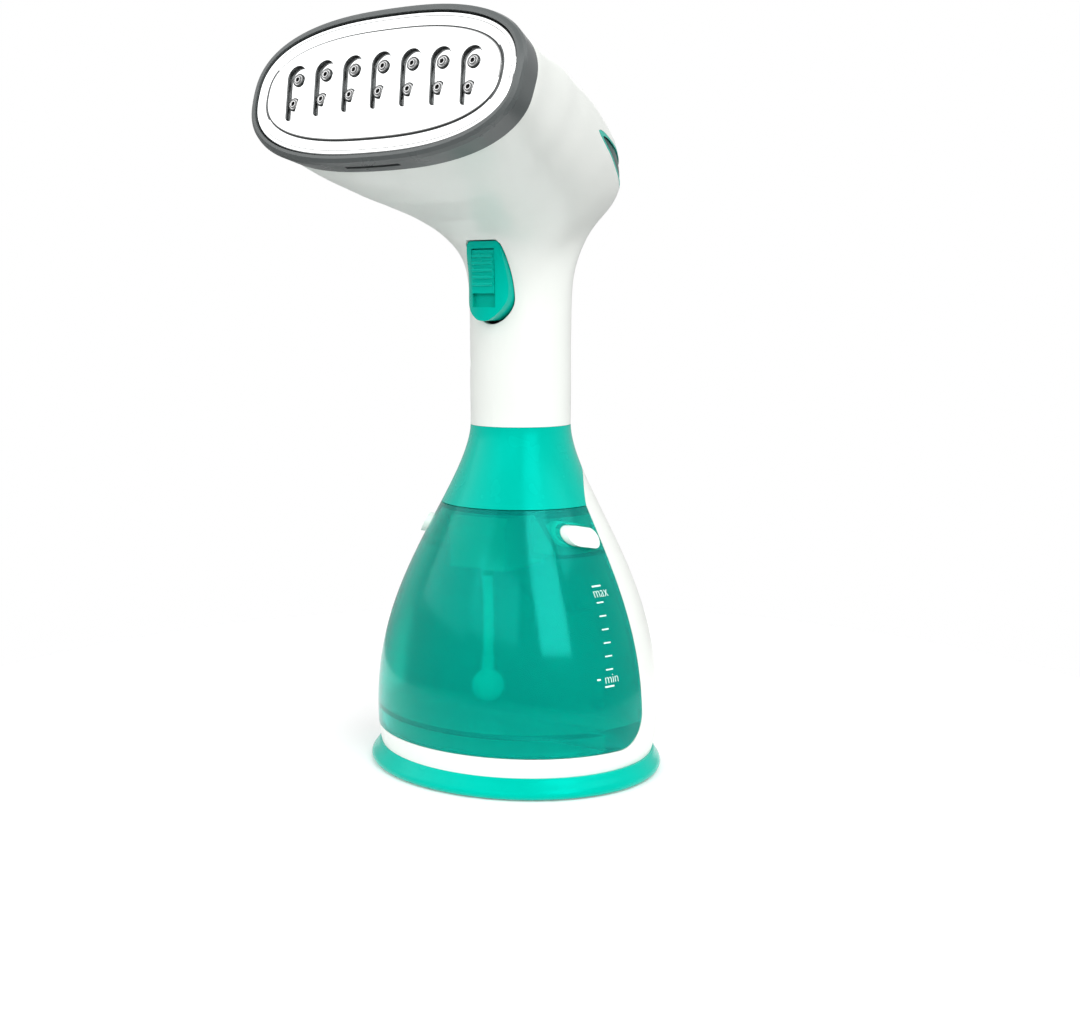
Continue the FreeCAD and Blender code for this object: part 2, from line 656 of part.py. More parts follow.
def build_plate():
    thick, radius = cell("plate_thickness"), cell("hole_radius")
    plate = flat_oval(cell("plate_half_width"), cell("plate_half_height"), 2.5, -thick, -0.5)
    plate = plate.fuse(flat_oval(cell("plate_half_width") - 5.5, cell("plate_half_height") - 5.2, 2.5,
                                 -1.5, 0.0))
    for u, v in slot_centres():
        plate = plate.cut(slot_solid(u, v, -1.4, 1))
    for u, v in hole_centres():
        plate = plate.cut(Part.makeCylinder(radius, 10, Vector(u, v, -5)))
    feature("steam_plate", plate.removeSplitter(), PLATE_PLACE)
    nozzles = []
    for u, v in hole_centres():
        outer = Part.makeCone(cell("nozzle_radius"), cell("nozzle_radius") - 0.5, cell("nozzle_height"),
                              Vector(u, v, -1.4))
        nozzles.append(outer.cut(Part.makeCylinder(radius, 4, Vector(u, v, -3))))
    feature("steam_nozzles", Part.makeCompound(nozzles), PLATE_PLACE)
    gasket = flat_oval(50.5, 21.0, 2.5, -4.6, -thick).cut(flat_oval(47.5, 18.6, 2.5, -5, -2))
    feature("plate_gasket", gasket, PLATE_PLACE)


# ---------------------------------------------------------------- heating assembly
PLATE_SCREWS = [(-42.4, 0.0), (42.4, 0.0)]


def build_heater():
    half_u, half_v, depth = cell("block_half_width"), cell("block_half_height"), cell("block_depth")
    front = -5.0
    rear = front - depth
    heater = flat_oval(half_u, half_v, 2.5, rear, front)
    chamber = flat_oval(half_u - 5, half_v - 5, 2.5, front - 6, front + 1)
    heater = heater.cut(chamber)
    groove = element_shape(cell("element_radius") + 0.05, rear)
    heater = heater.cut(groove)
    for u, v in PLATE_SCREWS:
        heater = heater.fuse(Part.makeCylinder(3.4, 6, Vector(u, v, front - 6)))
        heater = heater.cut(Part.makeCylinder(1.4, 10, Vector(u, v, front - 8)))
    feature("heater_block", heater.removeSplitter(), PLATE_PLACE)
    feature("heating_element", element_shape(cell("element_radius"), rear), PLATE_PLACE)
    cap = flat_oval(half_u - 1, half_v - 1, 2.5, rear - 2.0, rear)
    cap = cap.cut(element_room(rear)).cut(Part.makeCylinder(2.0, 5, Vector(0, 0, rear - 4)))
    nipple = Part.makeCylinder(3.2, 6, Vector(0, 0, rear - 8)).cut(
        Part.makeCylinder(2.0, 12, Vector(0, 0, rear - 9)))
    feature("boiler_cover", cap.fuse(nipple), PLATE_PLACE)
    primitive_disc = primitive("Cylinder", "cutout_drum", from_plate_place(18, 0, rear - 2.0),
                               Radius="cutout_radius", Height="cutout_height")
    tabs = primitive("Box", "cutout_tabs", from_plate_place(8.0, -2.0, rear - 3.2),
                     Length=20.0, Width=4.0, Height=0.8)
    node(boolean("Fuse", "thermostat_fuse", primitive_disc, tabs), "thermostat")
    body = primitive("Cylinder", "thermal_fuse_can", from_plate_place(-30, -5, rear - 4.4,
                     Rotation(Y_AXIS, 90)), Radius=2.0, Height=12.0)
    node(body, "thermal_fuse")
    sleeve = flat_oval(half_u + 1.6, half_v + 1.6, 2.5, rear + 1, front - 1.0).cut(
        flat_oval(half_u + 0.4, half_v + 0.4, 2.5, rear - 1, front + 1))
    feature("insulation_sleeve", sleeve, PLATE_PLACE)
    feature("plate_screws", Part.makeCompound(
        [screw(2.4, 1.35, 5.5, PLATE_PLACE.multiply(at(u, v, -4.95))) for u, v in PLATE_SCREWS]))


def from_plate_place(u, v, w, spin=None):
    """A placement in the plate's frame that looks backwards, away from the plate."""
    turn = Rotation(X_AXIS, 180)
    return PLATE_PLACE.multiply(at(u, v, w, turn.multiply(spin) if spin else turn))


def element_path(rear):
    """A U in the block's rear face, its two ends turned out to the back."""
    w = rear + 3.6
    span, rise = 36.0, 9.5
    bend = Part.Arc(Vector(-span + rise, rise, w), Vector(-span, 0, w), Vector(-span + rise, -rise, w))
    return Part.Wire([Part.LineSegment(Vector(span - 2, rise, w), Vector(-span + rise, rise, w)).toShape(),
                      bend.toShape(),
                      Part.LineSegment(Vector(-span + rise, -rise, w), Vector(span - 2, -rise, w)).toShape()])


def element_shape(radius, rear):
    """The sheathed element: the U and its two straight cold ends."""
    span, rise, w = 34.0, 9.5, rear + 3.6
    ring = Part.Wire([Part.Circle(Vector(span, rise, w), X_AXIS, radius).toShape()])
    shape = element_path(rear).makePipeShell([ring], True, False)
    for v in (rise, -rise):
        shape = shape.fuse(Part.makeSphere(radius, Vector(span, v, w)))
        shape = shape.fuse(Part.makeCylinder(radius, 16, Vector(span, v, w), Vector(0, 0, -1)))
    return shape


def element_room(rear):
    room = None
    for v in (9.5, -9.5):
        hole = Part.makeCylinder(cell("element_radius") + 0.4, 12, Vector(34.0, v, rear - 6))
        room = hole if room is None else room.fuse(hole)
    return room.fuse(element_shape(cell("element_radius") + 0.2, rear))


# ---------------------------------------------------------------- pump
def build_pump():
    """A solenoid pump lying across the rear housing, its ports at its two ends."""
    y, z, length = cell("pump_y"), cell("pump_z"), cell("pump_length")
    along_x = Rotation(Y_AXIS, 90)
    start = -length / 2
    frame = block(start, start + length, y - 12, y + 12, z - 13, z + 13).cut(
        block(start + 2, start + length - 2, y - 13, y + 10, z - 14, z + 14))
    frame = frame.cut(Part.makeCylinder(6.1, 100, Vector(-50, y, z), X_AXIS))
    feature("pump_frame", frame)
    turned("pump_coil", [(6.1, 2.1), (9.6, 2.1), (9.6, 30.0), (6.1, 30.0)], at(start, y, z, along_x))
    turned("pump_cylinder",
           [("pump_bore", 3.0), ("pump_bore", 40.0), (1.5, 40.0), (1.5, 54.0), (2.4, 54.0), (2.4, 46.5),
            (6.0, 46.5), (6.0, -0.5), (2.4, -0.5), (2.4, -8.0), (1.5, -8.0), (1.5, 3.0)],
           at(start, y, z, along_x))
    turned("pump_piston", [(0.9, 10.0), ("plunger_radius", 10.0), ("plunger_radius", 27.0), (0.9, 27.0)],
           at(start, y, z, along_x))
    feature("pump_spring", coil_spring(2.3, 0.3, 1.6, 12.4, at(start + 27.2, y, z, along_x)))
    feature("pump_mount", Part.makeCompound(
        [block(x, x + 6, y - 9, y + 9, 15.25, z - 13.0) for x in (-22, 16)]))


# ---------------------------------------------------------------- hoses and wires inside
def build_hoses():
    y, z, half = cell("pump_y"), cell("pump_z"), cell("pump_length") / 2
    top = cell("spigot_z")
    outlet = from_plate(0, 0, -27.2)
    intake = [(0, 14.05, top), (0, 24, top), (-14, 26, 84), (-30, 26, 72), (-38, y, 60),
              (-38, y, z), (-half - 8.2, y, z)]
    feature("intake_hose", tube(intake, 2.5, 1.4))
    feed = [(half + 8.2, y, z), (38, y, z), (38, y, 60), (30, y, 80), (12, 18, 104),
            (2, 15.5, 126), (0, 16.5, 160), (0, 16.5, 192), (0, 10, 214),
            (0, -14, 229), tuple(from_plate(0, 0, -45)), tuple(outlet)]
    feature("feed_hose", tube(feed, 2.5, 1.4))
    gland_z = cell("gland_z")
    mains = [tube([(s * 2.2, 44.0, gland_z), (s * 2.2, 39.0, gland_z), (s * 4.0, 36.0, 21.0),
                   (s * 4.0, 32.02, 21.0)], 1.3) for s in (-1, 1)]
    feature("mains_wires", Part.makeCompound(mains))
    board = [tube([(x, 30, 24.45), (x, 30, 27.6), (x, 38.2, 29.6), (x, 38.8, 40), (x, 38.6, 60),
                   (x, 30, 88),
                   (x, 18, 110), (x, 14.5, 130), (x, 12.4, 148)], 1.1) for x in (-8.8, -4.5)]
    feature("supply_wires", Part.makeCompound(board))
    ends = [tuple(from_plate(34, v, -32.2)) for v in (9.5, -9.5)]
    heat = [tube([(9, 12.4, 171), (9, 15, 190), (10, 8, 212), (24, -12, 228), (31, -30, 238), end], 1.1)
            if i == 0 else
            tube([(-9, 12.4, 171), (-9, 14, 188), (-4, 6, 207), (14, -12, 220), (27, -32, 226), end], 1.1)
            for i, end in enumerate(ends)]
    feature("heater_wires", Part.makeCompound(heat))
    turned("cord_gland",
           [("gland_bore", 0), (6.3, 0), (6.3, 5.7), (8.2, 5.7), (8.2, 8.7), (6.3, 8.7), (6.3, 13.5),
            (5.0, 17.5), ("gland_bore", 17.5)],
           at(0, 40.2, gland_z, Rotation(X_AXIS, -90)))
    slab_body("terminal_block", rectangle(13, 5.5), 9.0, at(0, 26.5, 15.4))


# ---------------------------------------------------------------- board, switch, trigger, slider
def build_controls():
    board = slab_body("circuit_board", rectangle(11, 20), 1.6, at(0, 11.2, 158, Rotation(X_AXIS, 90)))
    pocket_holes(board, "board_hole", [(-8.5, -17.5), (8.5, -17.5), (-8.5, 17.5), (8.5, 17.5)], 1.3)
    parts = [block(-8, 2, -1.5, 9.6, 150, 162), block(4, 9, 2.5, 9.6, 148, 158),
             Part.makeCylinder(3.5, 7, Vector(5, 9.6, 168), Vector(0, -1, 0)),
             block(-7, -3, 6.5, 9.6, 166, 172)]
    feature("board_parts", Part.makeCompound(parts))
    bracket = block(-12.5, 12.5, 3.0, 4.6, 176, 196).fuse(block(-12.5, -10.8, -1.5, 3.0, 182, 194))
    bracket = bracket.fuse(block(10.8, 12.5, -1.5, 3.0, 182, 194))
    feature("switch_bracket", bracket.removeSplitter())
    case = block(-10, 10, -3.4, 2.9, 182.5, 192.5).cut(block(-1.7, 1.7, -4, 0, 186.8, 190.2))
    feature("microswitch", case)
    feature("switch_plunger", block(-1.4, 1.4, -5.9, -1.9, 187.1, 189.9))
    build_trigger()


def trigger_crown():
    """The room under the trigger's crowned face: nearly flat at the top, wrapped round below."""
    sections = []
    face = cell("trigger_face")
    for z, half, wing in ((207.0, 8.6, -19.4), (197.0, 9.2, -17.8), (186.0, 10.0, -12.6),
                          (172.0, 10.0, -11.6)):
        shoulder = face + 0.14 * (wing - face)
        curve = Part.BSplineCurve()
        curve.interpolate(Points=[Vector(-half, wing, z), Vector(-0.6 * half, shoulder, z), Vector(0, face, z),
                                  Vector(0.6 * half, shoulder, z), Vector(half, wing, z)])
        corners = [Vector(half, wing, z), Vector(half, 5, z), Vector(-half, 5, z), Vector(-half, wing, z)]
        sides = [Part.LineSegment(a, b).toShape() for a, b in zip(corners, corners[1:])]
        sections.append(Part.Wire([curve.toShape()] + sides))
    return Part.makeLoft(sections, True, False)


def build_trigger():
    face, depth = cell("trigger_face"), cell("trigger_depth")
    rear = face + depth
    solid = trigger_prism(0.0, face - 1, rear).common(trigger_crown())
    half, top = cell("slider_half_width"), cell("slider_top")
    low = top - cell("slider_length") - cell("slider_travel") - 0.5
    solid = solid.cut(block(-half - 0.2, half + 0.2, face - 1, face + 2.4, low, top + 0.5))
    solid = solid.cut(Part.makeCylinder(cell("pin_radius") + 0.05, 40, Vector(-20, PIN_Y, PIN_Z), X_AXIS))
    hollow = block(-4.6, 4.6, rear - 6.0, rear + 1, 176.4, 196.5)
    solid = solid.cut(hollow)
    rib = block(-1.2, 1.2, rear - 6.2, -6.0, 187.5, 189.5)
    solid = solid.fuse(rib)
    feature("trigger", solid.removeSplitter())
    pin = primitive("Cylinder", "trigger_pin_bar", at(-11.6, PIN_Y, PIN_Z, Rotation(Y_AXIS, 90)),
                    Radius=("pin_radius", 1, -0.02), Height=23.2)
    node(pin, "trigger_pin")
    seat = at(0, rear - 5.9, 179.2, Rotation(X_AXIS, -90))
    feature("trigger_spring", coil_spring(2.2, 0.3, 2.0, 16.9, seat))
    build_slider()


def build_slider():
    """The steam lock: a small ribbed slide in the trigger's window."""
    face, half = cell("trigger_face"), cell("slider_half_width")
    top, length = cell("slider_top"), cell("slider_length")
    slide = block(-half, half, face + 0.3, face + 2.2, top - length, top)
    ribs, pitch = 5, 2.6
    for i in range(ribs):
        z = top - 2.2 - i * pitch
        rib = Part.makeCylinder(0.75, 2 * half - 0.6, Vector(-half + 0.3, face + 0.35, z), X_AXIS)
        slide = slide.fuse(rib)
    feature("lock_slider", slide.removeSplitter())


# ---------------------------------------------------------------- tank
def niche_block(side, grow, outer):
    """The dry niche of one latch button, open to the rear."""
    x0, x1 = sorted((side * (20.0 - grow), side * outer))
    return block(x0, x1, -15.6 - grow, 12, 87.3 - grow, 100.3 + grow)


def button_prism(side, grow, inner, outer):
    """A long-hole outline pushed along X, for a button or its opening."""
    half, radius = cell("button_length") / 2 - cell("button_height") / 2, cell("button_height") / 2 + grow
    bar = Part.makeBox(outer - inner, 2 * half, 2 * radius, Vector(inner, -half, -radius))
    for end in (-half, half):
        bar = bar.fuse(Part.makeCylinder(radius, outer - inner, Vector(inner, end, 0), X_AXIS))
    bar = bar.removeSplitter()
    bar.rotate(Vector(0, 0, 0), X_AXIS, -cell("button_tilt"))
    bar.translate(Vector(0, cell("button_y"), cell("button_z")))
    return bar if side > 0 else bar.mirror(Vector(0, 0, 0), X_AXIS)


def build_tank():
    low, high, floor = cell("tank_low"), cell("collar_low") - GAP, cell("tank_floor")
    zone = tank_zone(0.0)
    outer = bell(0.0, low - 0.5, high + 0.5, 11).common(zone)
    room = bell(2.0, low, 101.6, 11)
    cavity = room.common(block(-REACH, REACH, -REACH, REACH, floor + 2, 101.6))
    niches = niche_block(-1, 1.4, 60).fuse(niche_block(1, 1.4, 60))
    skirt = bell(4.0, low - 1, floor).common(block(-REACH, REACH, -REACH, -15, low - 1, floor - 0.5))
    shell = outer.cut(cavity.cut(niches)).cut(skirt)
    dry = room.common(niche_block(-1, 0, 60).fuse(niche_block(1, 0, 60)))
    shell = shell.cut(dry)
    for side in (-1, 1):
        shell = shell.cut(button_prism(side, 0.3, 20, 60))
    back_front = [(split_y(z) - 2.2, z) for z in (floor + 1.9, 101.5)]
    back_rear = [(split_y(z), z) for z in (101.5, floor + 1.9)]
    plate = bell(2.05, floor, 102.5).common(side_prism(back_front + back_rear)).common(zone)
    plate = plate.common(block(-REACH, REACH, -REACH, REACH, floor + 2.05, 101.5))
    plate = plate.cut(niche_block(-1, 1.45, 60)).cut(niche_block(1, 1.45, 60))
    bush = Part.makeCylinder(cell("seal_radius") + 0.02, 30, Vector(0, -20, cell("spigot_z")), Y_AXIS)
    filler = Part.makeCylinder(9.0, 30, Vector(0, -20, FILLER_Z), Y_AXIS)
    feature("tank_shell", shell.removeSplitter())
    feature("tank_back", plate.cut(bush.common(block(-9, 9, -4, 9, 80, 100))).cut(filler))
    build_suction()


FILLER_Z = 62.0


def build_suction():
    z = cell("spigot_z")
    rear = 0.8
    box = block(-12.5, 12.5, -24.5, rear, 80.5, 100.5).common(bell(2.4, 78, 102, 7))
    box = box.cut(Part.makeCylinder(cell("seal_radius") + 0.02, 12.0, Vector(0, rear, z), Vector(0, -1, 0)))
    box = box.cut(Part.makeCylinder(1.8, 18.5, Vector(0, rear, z), Vector(0, -1, 0)))
    hose_y = cell("sinker_y")
    box = box.cut(Part.makeCylinder(1.3, 15, Vector(0, hose_y, 78), Z_AXIS))
    nipple = Part.makeCylinder(2.4, 3.4, Vector(0, hose_y, 77.1)).cut(
        Part.makeCylinder(1.3, 4, Vector(0, hose_y, 77)))
    feature("outlet_manifold", box.fuse(nipple).removeSplitter())
    turned("outlet_seal",
           [(3.55, 0), ("seal_radius", 0), ("seal_radius", 13.4), (3.55, 13.4)],
           at(0, -10.4, z, Rotation(X_AXIS, -90)))
    route = [(0, hose_y, 77.0), (0.5, hose_y + 0.3, 61.0), (0, hose_y, 45.2)]
    feature("suction_hose", tube(route, cell("hose_radius")))
    build_sinker(hose_y)
    turned("filler_plug", [(0, 0), (6.6, 0), (8.9, 2.3), (8.9, 4.6), (0, 4.6)],
           at(0, -2.4, FILLER_Z, Rotation(X_AXIS, -90)))


def build_sinker(hose_y):
    """The weighted intake: a ball with a short neck that the hose pushes into."""
    ball = primitive("Sphere", "sinker_ball", at(0, hose_y, cell("sinker_z")), Radius="sinker_radius")
    neck = primitive("Cylinder", "sinker_neck", at(0, hose_y, cell("sinker_z")), Radius=2.4, Height=11.1)
    node(boolean("Fuse", "sinker_fuse", ball, neck), "sinker")


def build_latches():
    for side, word in ((-1, "left"), (1, "right")):
        skin = bell(-cell("button_proud"), 80, 108, 6).cut(bell(4.6, 79, 109, 6))
        pad = button_prism(side, 0.0, 23.2, 60).common(skin)
        flange = button_prism(side, 1.0, 23.2, 60).common(bell(2.5, 80, 108, 6)).cut(bell(4.6, 79, 109, 6))
        rear = split_y(93.0)
        x0, x1 = sorted((side * 28.2, side * 30.8))
        arm = block(x0, x1, -7.0, rear + 5.6, 90.6, 94.6)
        b0, b1 = sorted((side * 28.2, side * 32.0))
        barb = block(b0, b1, rear + 3.6, rear + 5.6, 90.6, 94.6)
        c0, c1 = sorted((side * 28.2, side * 33.0))
        web = block(c0, c1, -6.0, -2.0, 90.6, 94.6).common(bell(2.6, 80, 108, 6))
        button = pad.fuse(flange).fuse(arm).fuse(barb).fuse(web)
        feature(f"latch_button_{word}", button.removeSplitter())
        seat = at(side * 20.05, -4.5, 92.6, Rotation(Y_AXIS, side * 90))
        feature(f"latch_spring_{word}", coil_spring(1.7, 0.3, 1.5, 8.1, seat))


# ---------------------------------------------------------------- build, check and write
def write_parts():
    doc.recompute()
    faults = [f"{o.Label}: {o.State}" for o in doc.Objects if {"Invalid", "Error"} & set(o.State)]
    for obj in NODES:
        if obj.Shape.isNull() or not obj.Shape.isValid() or not obj.Shape.Solids:
            faults.append(f"{obj.Label}: bad shape")
    if faults:
        raise RuntimeError("; ".join(faults))
    os.makedirs("parts", exist_ok=True)
    for obj in NODES:
        obj.Shape.exportStep(f"parts/{obj.Label}.step")
        print(f"{obj.Label:22s} {len(obj.Shape.Solids)} solid(s) {obj.Shape.Volume / 1000:8.2f} cm3")


for build in (build_foot, build_housing, build_bulkhead, build_coupling, build_collar, build_head,
              build_lens, build_ring, build_plate, build_heater, build_pump, build_hoses,
              build_controls, build_tank, build_latches):
    build()
write_parts()
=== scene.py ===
import json
import math

import bmesh
import bpy
from mathutils import Matrix, Vector
from mathutils.bvhtree import BVHTree


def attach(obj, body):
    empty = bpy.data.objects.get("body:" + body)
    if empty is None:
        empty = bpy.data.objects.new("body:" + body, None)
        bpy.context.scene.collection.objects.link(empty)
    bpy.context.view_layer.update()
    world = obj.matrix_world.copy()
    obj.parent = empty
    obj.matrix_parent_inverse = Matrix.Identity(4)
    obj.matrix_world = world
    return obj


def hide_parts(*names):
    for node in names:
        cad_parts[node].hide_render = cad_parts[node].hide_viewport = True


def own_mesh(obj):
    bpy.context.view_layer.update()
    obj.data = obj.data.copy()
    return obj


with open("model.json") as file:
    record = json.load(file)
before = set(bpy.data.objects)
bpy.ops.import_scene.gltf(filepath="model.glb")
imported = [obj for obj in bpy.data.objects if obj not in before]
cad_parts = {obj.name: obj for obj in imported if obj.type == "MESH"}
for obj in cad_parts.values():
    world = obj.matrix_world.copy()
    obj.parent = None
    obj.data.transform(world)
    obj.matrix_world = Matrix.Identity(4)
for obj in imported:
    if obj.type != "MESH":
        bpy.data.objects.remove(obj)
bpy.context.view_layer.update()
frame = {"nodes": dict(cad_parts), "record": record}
NODES = frame["nodes"]
MM = 0.001

# ---------------------------------------------------------------- camera, lights, floor


CAMERA_PLACE = (0.3169, -0.4698, 0.1788)
CAMERA_AZIMUTH, CAMERA_PITCH, CAMERA_YAW = (math.radians(a) for a in (34, 7.92, 1.05))
CAMERA_LENS, CAMERA_SENSOR = 48.64, 36


def add_camera():
    """The photograph's view: round from the front to the right, looking slightly down."""
    azimuth, pitch, yaw = CAMERA_AZIMUTH, CAMERA_PITCH, CAMERA_YAW
    ahead = Vector((-math.sin(azimuth), math.cos(azimuth), 0))
    side = Vector((math.cos(azimuth), math.sin(azimuth), 0))
    level = ahead * math.cos(yaw) + side * math.sin(yaw)
    right = side * math.cos(yaw) - ahead * math.sin(yaw)
    look = level * math.cos(pitch) - Vector((0, 0, 1)) * math.sin(pitch)
    up = Vector((0, 0, 1)) * math.cos(pitch) + level * math.sin(pitch)
    data = bpy.data.cameras.new("camera")
    data.lens, data.sensor_width = CAMERA_LENS, CAMERA_SENSOR
    camera = bpy.data.objects.new("camera", data)
    turn = Matrix((right, up, -look)).transposed().to_4x4()
    camera.matrix_world = Matrix.Translation(CAMERA_PLACE) @ turn
    bpy.context.scene.collection.objects.link(camera)
    bpy.context.scene.camera = camera


def add_area(name, place, aim, size, power):
    """A rectangular lamp at a place, turned to face what it aims at."""
    data = bpy.data.lights.new(name, "AREA")
    data.shape = "RECTANGLE"
    data.size, data.size_y = size
    data.energy = power
    lamp = bpy.data.objects.new(name, data)
    lamp.location = place
    lamp.rotation_euler = (Vector(aim) - Vector(place)).to_track_quat("-Z", "Y").to_euler()
    bpy.context.scene.collection.objects.link(lamp)


FLOOR_RADIUS, FLOOR_SIDES = 0.30, 96
SEEN_LEVEL = 1.0
DOME = {"From Min": -0.45, "From Max": 0.1, "To Min": 0.14, "To Max": 0.60}
MIDDLE = (0, 0, 0.14)
LAMPS = [
    ("box", (-0.81, -0.80, 0.97), (0, -0.08, 0.25), (1.5, 1.3), 7.8),
    ("side", (0.95, -0.62, 0.80), MIDDLE, (0.62, 0.95), 10.0),
    ("front", (0.1, -1.6, 0.9), (0, 0, 0.16), (1.3, 0.7), 5.0),
    ("top", (0.8, 0.15, 1.15), (0, 0, 0.2), (0.8, 0.8), 5.0),
    ("rear", (-0.7, 1.0, 0.8), MIDDLE, (0.8, 0.8), 1.6),
]


def add_studio():
    """A white room that is brighter above than below, a round pale floor and soft lamps."""
    world = bpy.data.worlds.new("studio")
    world.use_nodes = True
    tree = world.node_tree
    tree.nodes["Background"].inputs["Color"].default_value = (1, 1, 1, 1)
    seen = tree.nodes.new("ShaderNodeLightPath").outputs["Is Camera Ray"]
    level = tree.nodes.new("ShaderNodeMapRange")
    height = tree.nodes.new("ShaderNodeSeparateXYZ")
    tree.links.new(tree.nodes.new("ShaderNodeTexCoord").outputs["Generated"], height.inputs[0])
    dome = tree.nodes.new("ShaderNodeMapRange")
    for socket, value in DOME.items():
        dome.inputs[socket].default_value = value
    tree.links.new(height.outputs["Z"], dome.inputs["Value"])
    tree.links.new(dome.outputs["Result"], level.inputs["To Min"])
    level.inputs["To Max"].default_value = SEEN_LEVEL
    tree.links.new(seen, level.inputs["Value"])
    tree.links.new(level.outputs["Result"], tree.nodes["Background"].inputs["Strength"])
    bpy.context.scene.world = world
    mesh = bpy.data.meshes.new("floor")
    angles = [2 * math.pi * i / FLOOR_SIDES for i in range(FLOOR_SIDES)]
    rim = [(FLOOR_RADIUS * math.cos(a), FLOOR_RADIUS * math.sin(a), 0) for a in angles]
    mesh.from_pydata(rim, [], [tuple(range(FLOOR_SIDES))])
    floor = bpy.data.objects.new("floor", mesh)
    bpy.context.scene.collection.objects.link(floor)
    floor.data.materials.append(plain_floor())
    for lamp in LAMPS:
        add_area(*lamp)
    bpy.context.scene.view_settings.view_transform = "Standard"


# ---------------------------------------------------------------- materials


class Paint:
    """A node material around one Principled shader, with short helpers for its inputs."""

    def __init__(self, name, **values):
        self.material = bpy.data.materials.new(name)
        self.material.use_nodes = True
        self.tree = self.material.node_tree
        self.shader = self.tree.nodes["Principled BSDF"]
        self.coords = self.add("ShaderNodeTexCoord").outputs["Object"]
        for socket, value in values.items():
            self.shader.inputs[socket.replace("_", " ")].default_value = value

    def add(self, kind, **props):
        new = self.tree.nodes.new(kind)
        for key, value in props.items():
            setattr(new, key, value)
        return new

    def link(self, source, target):
        self.tree.links.new(source, target)

    def noise(self, scale, detail=2.0, rough=0.5):
        texture = self.add("ShaderNodeTexNoise")
        self.link(self.coords, texture.inputs["Vector"])
        texture.inputs["Scale"].default_value = scale
        texture.inputs["Detail"].default_value = detail
        texture.inputs["Roughness"].default_value = rough
        return texture.outputs["Fac"]

    def spread(self, factor, low, high, start=0.35, end=0.65):
        """A number that runs from low to high as the factor runs from start to end."""
        ranged = self.add("ShaderNodeMapRange")
        self.link(factor, ranged.inputs["Value"])
        ranged.inputs["From Min"].default_value = start
        ranged.inputs["From Max"].default_value = end
        ranged.inputs["To Min"].default_value = low
        ranged.inputs["To Max"].default_value = high
        return ranged.outputs["Result"]

    def blend(self, factor, first, second):
        mix = self.add("ShaderNodeMix", data_type="RGBA")
        self.link(factor, mix.inputs["Factor"])
        for socket, colour in (("A", first), ("B", second)):
            target = [i for i in mix.inputs if i.name == socket and i.type == "RGBA"][0]
            if hasattr(colour, "is_linked"):
                self.link(colour, target)
            else:
                target.default_value = (*colour, 1)
        return [o for o in mix.outputs if o.type == "RGBA"][0]

    def colour(self, source):
        self.link(source, self.shader.inputs["Base Color"])

    def rough(self, source):
        self.link(source, self.shader.inputs["Roughness"])

    def bump(self, factor, distance, strength=1.0):
        node = self.add("ShaderNodeBump")
        node.inputs["Distance"].default_value = distance
        node.inputs["Strength"].default_value = strength
        self.link(factor, node.inputs["Height"])
        self.link(node.outputs["Normal"], self.shader.inputs["Normal"])


def shade(colour, factor):
    """The colour times a factor, with no channel above 1."""
    return tuple(min(1.0, c * factor) for c in colour)


def moulded(name, colour, rough=0.22, variation=0.06, grain=0.00001, **values):
    """Moulded plastic: faint flow tone, slightly uneven gloss and a fine skin."""
    paint = Paint(name, **values)
    flow = paint.noise(14.0, 3.0)
    low, high = shade(colour, 1 - variation), shade(colour, 1 + variation)
    paint.colour(paint.blend(paint.spread(flow, 0, 1), low, high))
    paint.rough(paint.spread(paint.noise(90.0, 2.0), rough * 0.85, rough * 1.15))
    paint.bump(paint.noise(1800.0, 1.0), grain, 0.35)
    return paint.material


def metal(name, colour, rough, brushed=0.0, **values):
    """Metal with faint smears, and drawn lines where it is brushed."""
    paint = Paint(name, Metallic=1.0, **values)
    smears = paint.spread(paint.noise(40.0, 3.0), 0, 1)
    paint.colour(paint.blend(smears, shade(colour, 0.95), colour))
    paint.rough(paint.spread(paint.noise(260.0, 3.0), rough * 0.7, rough * 1.4))
    if brushed:
        paint.bump(paint.noise(2600.0, 2.0), brushed, 0.5)
    return paint.material


def plain_floor():
    """Matt off-white that glows a little, so that it meets the white room without an edge."""
    paint = Paint("floor_paint", Roughness=0.7, Emission_Color=(1, 1, 1, 1), Emission_Strength=0.12)
    tone = paint.spread(paint.noise(3.0), 0, 1)
    paint.colour(paint.blend(tone, (0.86, 0.86, 0.86), (0.88, 0.88, 0.88)))
    return paint.material


WHITE = (0.785, 0.81, 0.775)
TEAL = (0.0, 0.43, 0.33)


